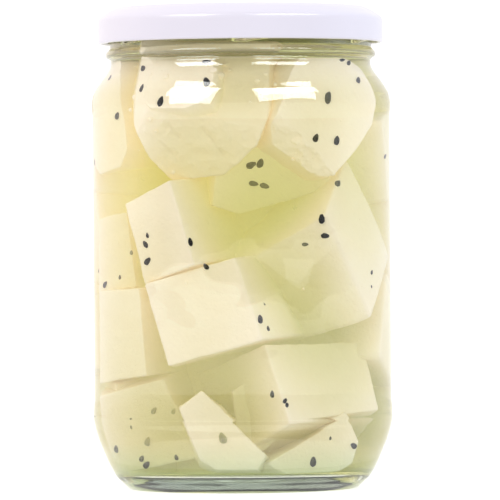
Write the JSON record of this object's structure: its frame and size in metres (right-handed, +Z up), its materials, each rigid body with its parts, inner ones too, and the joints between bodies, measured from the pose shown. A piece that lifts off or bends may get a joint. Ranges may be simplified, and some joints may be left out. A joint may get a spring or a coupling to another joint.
{
  "type": "jar of white cheese in brine",
  "caption": "Round clear glass twist-off jar with a plain metal lid, packed with semi-hard white cheese blocks and black nigella seeds in brine.",
  "frame": {"origin": "middle of the jar's foot, at the lowest point", "axes": "+Z up along the jar's axis to the lid, front towards -Y, +X to the right as seen from the front"},
  "size_m": [0.0898, 0.0898, 0.1442],
  "materials": {
    "clear_glass": "clear, smooth",
    "white_lacquer": "satin lacquer",
    "cheese": "moist, matt, with black seeds"
  },
  "bodies": {
    "root": {"glass_jar": "clear_glass", "lid": "white_lacquer", "cheese_blocks": "cheese"}
  },
  "joints": []
}
